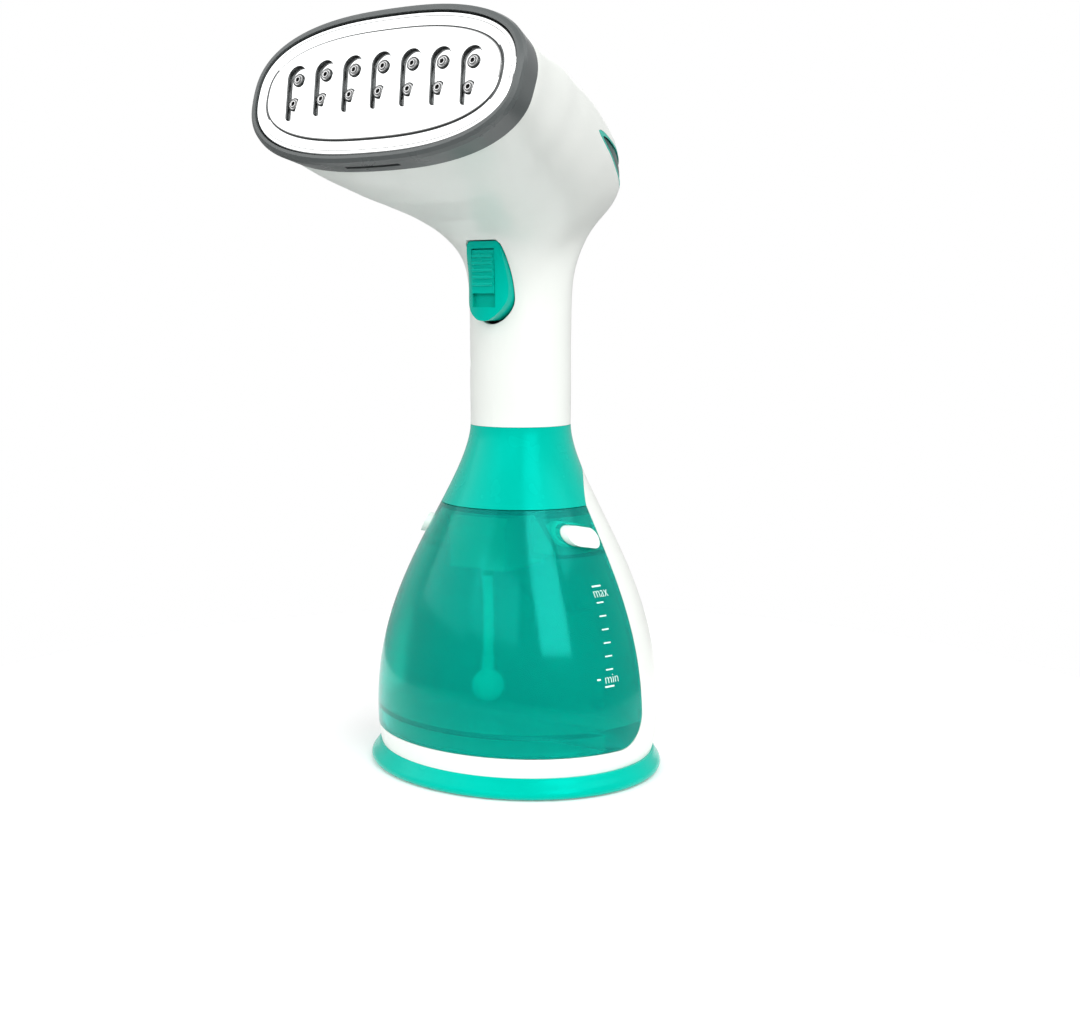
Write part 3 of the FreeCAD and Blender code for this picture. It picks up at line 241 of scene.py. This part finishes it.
MOULDED = {
    "white_shell": dict(colour=WHITE, rough=0.33, variation=0.015, Coat_Weight=0.1,
                        Coat_Roughness=0.15),
    "teal_gloss": dict(colour=TEAL, rough=0.24, variation=0.04, Specular_IOR_Level=0.4,
                       Specular_Tint=(0.0, 1.0, 0.9, 1)),
    "button_white": dict(colour=(0.74, 0.86, 0.80), rough=0.3, variation=0.03),
    "ring_grey": dict(colour=(0.085, 0.095, 0.095), rough=0.32, variation=0.08, grain=0.00002),
    "inner_plastic": dict(colour=(0.62, 0.62, 0.57), rough=0.45, variation=0.05),
    "board_green": dict(colour=(0.02, 0.14, 0.06), rough=0.35, variation=0.1),
    "wire_white": dict(colour=(0.70, 0.70, 0.67), rough=0.45, variation=0.04),
    "rubber_dark": dict(colour=(0.03, 0.03, 0.03), rough=0.7, variation=0.1, grain=0.00004),
    "lens_dark": dict(colour=(0.001, 0.04, 0.034), rough=0.3, variation=0.1,
                      Specular_Tint=(0.05, 0.6, 0.5, 1)),
    "silicone_clear": dict(colour=(0.90, 0.95, 0.93), rough=0.35, variation=0.03),
    "mineral_fibre": dict(colour=(0.66, 0.63, 0.56), rough=0.9, variation=0.15, grain=0.0001),
    "bore_black": dict(colour=(0.01, 0.01, 0.01), rough=0.6, variation=0.1),
    "level_print": dict(colour=(0.72, 0.92, 0.88), rough=0.4, variation=0.03),
    "outlet_teal": dict(colour=(0.06, 0.50, 0.42), rough=0.4, variation=0.05),
}
METALS = {
    "cast_metal": dict(colour=(0.55, 0.55, 0.55), rough=0.45, brushed=0.00003),
    "steel": dict(colour=(0.60, 0.60, 0.60), rough=0.28),
    "nozzle_metal": dict(colour=(0.30, 0.30, 0.31), rough=0.25),
    # painted_shade_metal is a dark metal that paints shade and dark reflection onto the plate's
    # slot walls and groove and onto the nozzle collars.
    "painted_shade_metal": dict(colour=(0.10, 0.105, 0.105), rough=0.3),
    "copper_coil": dict(colour=(0.70, 0.30, 0.14), rough=0.35, brushed=0.00003),
    "plate_polished": dict(colour=(0.90, 0.91, 0.91), rough=0.05),
}
CLEAR = {"tank_clear": (0.0, 0.76, 0.63), "tank_rear": (0.0, 0.62, 0.51)}


def make_materials():
    made = {name: moulded(name, **values) for name, values in MOULDED.items()}
    made.update({name: metal(name, **values) for name, values in METALS.items()})
    made.update({name: clear_tank(name, colour) for name, colour in CLEAR.items()})
    return made


def clear_tank(name, colour):
    """Tinted see-through plastic, a little hazy, with a tinted reflection."""
    paint = Paint(name, Roughness=0.13, IOR=1.45, Transmission_Weight=0.82,
                  Specular_Tint=(0.06, 1.0, 0.92, 1))
    tone = paint.spread(paint.noise(10.0, 2.0), 0, 1)
    paint.colour(paint.blend(tone, shade(colour, 0.98), shade(colour, 1.02)))
    return paint.material


OWN_MATERIAL = {"outlet_manifold": "outlet_teal", "tank_back": "tank_rear",
                "filler_plug": "tank_rear", "sinker": "silicone_clear"}


def dress_nodes():
    """Every CAD node gets the material of its slot, or its own where it looks different."""
    slots = {entry["node"]: entry["material_slot"] for entry in frame["record"]["subparts"]}
    for name, obj in NODES.items():
        obj.data.materials.clear()
        obj.data.materials.append(MATERIALS[OWN_MATERIAL.get(name, slots[name])])


# ---------------------------------------------------------------- meshes from code


def add_piece(name, mesh, slot, body, *replaced, crease=35):
    """A finished mesh as a named piece that rides on a body."""
    obj = bpy.data.objects.new(name, mesh)
    bpy.context.scene.collection.objects.link(obj)
    for polygon in mesh.polygons:
        polygon.use_smooth = True
    mesh.set_sharp_from_angle(angle=math.radians(crease))
    if not mesh.materials:
        mesh.materials.append(MATERIALS[slot])
    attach(obj, body)
    if replaced:
        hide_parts(*replaced)
    return obj


def lofted(name, rings):
    """A closed skin through rings of equal count, each a list of points."""
    count = len(rings[0])
    verts = [tuple(p) for ring in rings for p in ring]
    faces = []
    for r in range(len(rings) - 1):
        for i in range(count):
            j = (i + 1) % count
            faces.append((r * count + i, r * count + j, (r + 1) * count + j, (r + 1) * count + i))
    faces.append(tuple(reversed(range(count))))
    faces.append(tuple((len(rings) - 1) * count + i for i in range(count)))
    mesh = bpy.data.meshes.new(name)
    mesh.from_pydata(verts, [], faces)
    fix_normals(mesh)
    return mesh


def fix_normals(mesh):
    work = bmesh.new()
    work.from_mesh(mesh)
    bmesh.ops.recalc_face_normals(work, faces=work.faces)
    work.to_mesh(mesh)
    work.free()


def baked(obj):
    """The object's mesh with its modifiers applied; the object itself is removed."""
    graph = bpy.context.evaluated_depsgraph_get()
    mesh = bpy.data.meshes.new_from_object(obj.evaluated_get(graph))
    bpy.data.objects.remove(obj)
    return mesh


def loose(name, mesh):
    """A working object that is not a finished piece yet."""
    obj = bpy.data.objects.new(name, mesh)
    bpy.context.scene.collection.objects.link(obj)
    return obj


def joined(name, meshes):
    """One mesh with everything that the given meshes hold."""
    work = bmesh.new()
    for mesh in meshes:
        work.from_mesh(mesh)
    result = bpy.data.meshes.new(name)
    work.to_mesh(result)
    work.free()
    return result


# ---------------------------------------------------------------- the steam plate

PLATE_TILT = math.radians(17.4)
PLATE_MIDDLE = Vector((0, -79.9, 252.7)) * MM
PLATE_HALF = (54.5, 24.3)
OVAL = 2.5
# How far in from the edge, and how high: the rolled rim, a fine line, the flat band, the groove
# and the raised face.
PLATE_PROFILE = [(0.3, -3.0), (0.0, -2.7), (0.0, -1.0), (0.15, -0.7), (0.5, -0.52), (1.2, -0.5),
                 (1.5, -0.72), (1.8, -0.5), (4.3, -0.5), (4.7, -0.62), (5.0, -0.55), (5.3, -0.25),
                 (5.7, -0.06), (6.4, 0.0)]
# GROOVE_HALF, GROOVE_DEPTH and GROOVE_REACH pick out the groove faces that get painted shade.
GROOVE_HALF, GROOVE_DEPTH, GROOVE_REACH = (49.35, 19.15), (-0.61, -0.3), (0.97, 1.04)
FACE_HALF = (47, 17)


def on_plate(u, v, w):
    """A point given across, up and out of the plate, in millimetres."""
    across = Vector((1, 0, 0))
    up = Vector((0, math.sin(PLATE_TILT), math.cos(PLATE_TILT)))
    out = Vector((0, -math.cos(PLATE_TILT), math.sin(PLATE_TILT)))
    return PLATE_MIDDLE + (across * u + up * v + out * w) * MM


def plate_place(point):
    """Across, up and out of the plate, in millimetres, of a point in space."""
    gap = (point - PLATE_MIDDLE) / MM
    return (gap.x, gap.y * math.sin(PLATE_TILT) + gap.z * math.cos(PLATE_TILT),
            gap.z * math.sin(PLATE_TILT) - gap.y * math.cos(PLATE_TILT))


def oval_ring(half_u, half_v, w, count=160):
    """Points round a flat oval at a height over the plate's face."""
    points = []
    for i in range(count):
        angle = 2 * math.pi * i / count
        c, s = math.cos(angle), math.sin(angle)
        u = half_u * math.copysign(abs(c) ** (2 / OVAL), c)
        v = half_v * math.copysign(abs(s) ** (2 / OVAL), s)
        points.append(on_plate(u, v, w))
    return points


def oval_reach(u, v, half):
    """Below 1 inside the oval with those half sizes, and above 1 outside it."""
    return (abs(u) / half[0]) ** OVAL + (abs(v) / half[1]) ** OVAL


SLOT_ROWS = [(i * 12.4, 1.6 * (1 - (i / 3) ** 2) - 0.4) for i in range(-3, 4)]
SLOT_LENGTH, SLOT_TOP, SLOT_TIP, SLOT_FLOOR = 19.8, 3.9, 1.65, -1.4
SLOT_SIDES = [(-0.3, SLOT_FLOOR), (0.0, -0.3), (0.26, 0.0), (0.26, 1.0)]
NOZZLE_RISES = (5.3, -3.6)


def teardrop(u, v, grow, w, arc=14):
    """The outline of one slot: a wide round top running down to a narrow round tip."""
    top, tip = v + SLOT_LENGTH / 2 - SLOT_TOP, v - SLOT_LENGTH / 2 + SLOT_TIP
    ease = math.asin((SLOT_TOP - SLOT_TIP) / (top - tip))
    points = []
    ends = ((top, SLOT_TOP + grow, -ease, math.pi + 2 * ease),
            (tip, SLOT_TIP + grow, math.pi + ease, math.pi - 2 * ease))
    for centre, radius, start, sweep in ends:
        for i in range(arc + 1):
            angle = start + sweep * i / arc
            a, b = radius * math.cos(angle), radius * math.sin(angle)
            points.append(on_plate(u + a, centre + b, w))
    return points


def build_plate():
    """The pressed plate: a rolled rim, a groove and a raised face with dished slots, with painted
    shade on the slot walls and in the groove.
    """
    rings = [oval_ring(PLATE_HALF[0] - inset, PLATE_HALF[1] - inset, w)
             for inset, w in PLATE_PROFILE]
    plate = loose("plate_work", lofted("plate_work", rings))
    cutters = joined("slot_cutters", [
        lofted("slot_cutter", [teardrop(u, v, grow, w) for grow, w in SLOT_SIDES])
        for u, v in SLOT_ROWS])
    cutter = loose("slot_cutters", cutters)
    cut = plate.modifiers.new("slots", "BOOLEAN")
    cut.object, cut.solver = cutter, "EXACT"
    mesh = baked(plate)
    bpy.data.objects.remove(cutter)
    # The slot walls and the groove get a dark metal: painted shade and painted dark reflection in
    # these recesses of a plate that is all one polished metal.
    for name in ("plate_polished", "painted_shade_metal"):
        mesh.materials.append(MATERIALS[name])
    for polygon in mesh.polygons:
        u, v, w = plate_place(polygon.center)
        slot_wall_shade = oval_reach(u, v, FACE_HALF) < 1 and SLOT_FLOOR + 0.05 < w < -0.02
        groove_shade = (GROOVE_DEPTH[0] < w < GROOVE_DEPTH[1]
                     and GROOVE_REACH[0] < oval_reach(u, v, GROOVE_HALF) < GROOVE_REACH[1])
        polygon.material_index = 1 if slot_wall_shade or groove_shade else 0
    face = add_piece("steam_plate_face", mesh, "plate_polished", "housing", "steam_plate",
                     crease=50)
    even = face.modifiers.new("even", "WEIGHTED_NORMAL")
    even.mode, even.keep_sharp = "FACE_AREA", True


NOZZLE_PROFILE = [(2.35, -1.42), (2.35, -1.0), (2.15, -0.8), (1.85, -0.8), (1.75, -0.95),
                  (1.5, -0.95), (1.42, -0.55), (1.15, -0.42), (0.85, -0.45), (0.75, -0.6),
                  (0.75, -1.3)]
NOZZLE_PLACES = [(u, v + rise) for u, v in SLOT_ROWS for rise in NOZZLE_RISES]
# BORE_RADIUS, LIP_RADIUS and GAP_RADII mark where the nozzles get the painted black of the bore and
# their painted highlights.
BORE_RADIUS, LIP_RADIUS, GAP_RADII = 0.75, 1.12, (1.44, 1.8)


def turned_on_plate(name, profile, u, v, count=28):
    """A round piece that stands on the plate, from its radius and height step by step."""
    angles = [2 * math.pi * i / count for i in range(count)]
    return lofted(name, [[on_plate(u + radius * math.cos(a), v + radius * math.sin(a), w)
                          for a in angles] for radius, w in profile])


def build_nozzles():
    """Fourteen small nozzles of one metal, with painted shade on their dark rings, painted
    highlights on their light rings and a black bore that paints the shade inside the hole.
    """
    mesh = joined("steam_nozzle_set", [turned_on_plate("nozzle", NOZZLE_PROFILE, u, v)
                                       for u, v in NOZZLE_PLACES])
    # The dark collar is painted shade, the steel lip and groove rings are painted highlights, and
    # the black bore is painted shade for the depth of the hole.
    for name in ("painted_shade_metal", "steel", "bore_black"):
        mesh.materials.append(MATERIALS[name])
    for polygon in mesh.polygons:
        u, v, _ = plate_place(polygon.center)
        span = min(math.hypot(u - a, v - b) for a, b in NOZZLE_PLACES)
        painted_highlight = span < LIP_RADIUS or GAP_RADII[0] < span < GAP_RADII[1]
        polygon.material_index = 2 if span < BORE_RADIUS else 1 if painted_highlight else 0
    add_piece("steam_nozzle_set", mesh, "nozzle_metal", "housing", "steam_nozzles", crease=50)


# ---------------------------------------------------------------- the tank's markings


def bell_section(z):
    """Half width, half depth and centre of the body under the handle, in millimetres."""
    rise = min(max((z - 20) / 114, 0), 1)
    half_width = 19.6 + 38.1 * (1 - rise ** 2.2) ** 1.7
    if z < 20:
        half_width -= 1.6 * ((20 - z) / 12) ** 2
    return half_width, half_width * (0.865 + 0.135 * rise), 1 + 0.0335 * (z - 7.8)


SCALE_TOP, SCALE_LOW = (-9.0, 76.0), (-15.0, 40.3)
END_BARS = [(76.0, 0.0, 4.2, 0.62), (40.3, 0.0, 4.2, 0.62), (43.2, -4.4, 1.5, 0.62)]
MARK_TOP, MARK_STEP, MARK_COUNT = 70.2, 4.76, 6
WORDS = [("max", 73.6, 1.2, 6.8, 1.4), ("min", 43.0, 0.9, 6.0, 1.15)]
STROKE_THINNING = -0.016


def tank_side(y, z):
    """The tank's right outer surface at that depth and height, as a point in metres."""
    half_width, half_depth, centre = bell_section(z)
    x = half_width * math.sqrt(max(0.0, 1 - ((y - centre) / half_depth) ** 2))
    return Vector((x, y, z)) * MM


def tank_skin():
    """The tank's surface, to look up the nearest point on it."""
    mesh = NODES["tank_shell"].data
    return BVHTree.FromPolygons([v.co for v in mesh.vertices], [p.vertices for p in mesh.polygons])


def laid_on(skin, y, z, flat, lift=0.03):
    """Points of a flat drawing, in millimetres, laid onto the tank round a point on its side."""
    place = tank_side(y, z)
    ahead = (tank_side(y + 0.5, z) - tank_side(y - 0.5, z)).normalized()
    rise = (tank_side(y, z + 0.5) - tank_side(y, z - 0.5)).normalized()
    out = ahead.cross(rise).normalized()
    laid = []
    for a, b in flat:
        spot, normal, _, _ = skin.find_nearest(place + (ahead * a + rise * b) * MM)
        laid.append(spot + out * lift * MM)
    return laid


def bar_mesh(skin, y, z, length, height):
    """A short printed bar, with enough points along it to follow the curve."""
    steps = 6
    low = [(-length / 2 + length * i / steps, -height / 2) for i in range(steps + 1)]
    high = [(a, height / 2) for a, _ in low]
    mesh = bpy.data.meshes.new("bar")
    mesh.from_pydata([tuple(p) for p in laid_on(skin, y, z, low + high)], [],
                     [(i, i + 1, steps + 2 + i, steps + 1 + i) for i in range(steps)])
    return mesh


def word_mesh(skin, word, y, z, width, stretch):
    """A printed word of that width, its letters stretched upwards."""
    curve = bpy.data.curves.new(word, "FONT")
    curve.body, curve.align_x, curve.align_y = word, "CENTER", "CENTER"
    curve.resolution_u = 3
    curve.offset = STROKE_THINNING
    text = loose(word, curve)
    mesh = baked(text)
    wide = max(v.co.x for v in mesh.vertices) - min(v.co.x for v in mesh.vertices)
    scale = width / wide
    flat = [(v.co.x * scale, v.co.y * scale * stretch) for v in mesh.vertices]
    for vertex, spot in zip(mesh.vertices, laid_on(skin, y, z, flat)):
        vertex.co = spot
    return mesh


def on_scale(z, shift=0.0):
    """Depth and height of a mark on the scale's line, moved forwards or back by a shift."""
    (top_y, top_z), (low_y, low_z) = SCALE_TOP, SCALE_LOW
    share = (top_z - z) / (top_z - low_z)
    return top_y + (low_y - top_y) * share + shift, z


def build_level_scale():
    """Printed filling marks on the tank's right side, between a top and a bottom bar."""
    skin = tank_skin()
    meshes = [bar_mesh(skin, *on_scale(z, shift), length, height)
              for z, shift, length, height in END_BARS]
    meshes += [bar_mesh(skin, *on_scale(MARK_TOP - MARK_STEP * i), 3.2, 0.5)
               for i in range(MARK_COUNT)]
    meshes += [word_mesh(skin, word, *on_scale(z, shift), width, stretch)
               for word, z, shift, width, stretch in WORDS]
    scale = loose("scale_work", joined("level_scale", meshes))
    thick = scale.modifiers.new("thick", "SOLIDIFY")
    thick.thickness, thick.offset = 0.05 * MM, 1.0
    mesh = baked(scale)
    mesh.materials.append(MATERIALS["level_print"])
    add_piece("level_scale", mesh, "button_white", "tank")


HOSE_ROUTE = [(0, -17.7, 77.0), (0.5, -17.4, 61.0), (0, -17.7, 45.2)]
HOSE_RADIUS = 2.0


def build_hose():
    """The limp intake hose inside the tank, from the outlet down to the weighted ball."""
    curve = bpy.data.curves.new("tank_hose", "CURVE")
    curve.dimensions = "3D"
    spline = curve.splines.new("NURBS")
    spline.points.add(len(HOSE_ROUTE) - 1)
    for point, spot in zip(spline.points, HOSE_ROUTE):
        point.co = (*(Vector(spot) * MM), 1)
    spline.order_u = 3
    spline.use_endpoint_u = True
    curve.bevel_depth = HOSE_RADIUS * MM
    curve.bevel_resolution = 6
    curve.use_fill_caps = True
    curve.materials.append(MATERIALS["silicone_clear"])
    hose = loose("tank_hose", curve)
    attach(hose, "tank")
    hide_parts("suction_hose")


def build_spring(node, body, joint, push, travel):
    """A spring as a steel copy of its CAD node, riding on a body in place of that node; it keeps
    its length.
    """
    push = Vector(push)
    spring = add_piece(node + "_coil", NODES[node].data.copy(), "steel", body, node)
    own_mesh(spring)


SPRINGS = [
    ("latch_spring_left", "tank", "latch_left_press", (1, 0, 0), 3.1),
    ("latch_spring_right", "tank", "latch_right_press", (-1, 0, 0), 3.1),
    ("trigger_spring", "housing", "trigger_hinge", (0, 1, 0), 4.2),
    ("pump_spring", "housing", "piston_slide", (1, 0, 0), 1.6),
]
SOFT_EDGES = {"trigger": 0.5, "lock_slider": 0.2, "latch_button_left": 0.7,
              "latch_button_right": 0.7, "head_ring": 0.3, "foot_base": 0.2}


def soften_nodes():
    """Small rounded edges on the CAD pieces that are seen close to."""
    for name, width in SOFT_EDGES.items():
        soften = NODES[name].modifiers.new("soften", "BEVEL")
        soften.width, soften.segments = width * MM, 3
        soften.limit_method, soften.angle_limit = "ANGLE", math.radians(40)
        soften.harden_normals = True


MATERIALS = make_materials()
dress_nodes()
build_plate()
build_nozzles()
build_level_scale()
build_hose()
for spring in SPRINGS:
    build_spring(*spring)
soften_nodes()
add_camera()
add_studio()
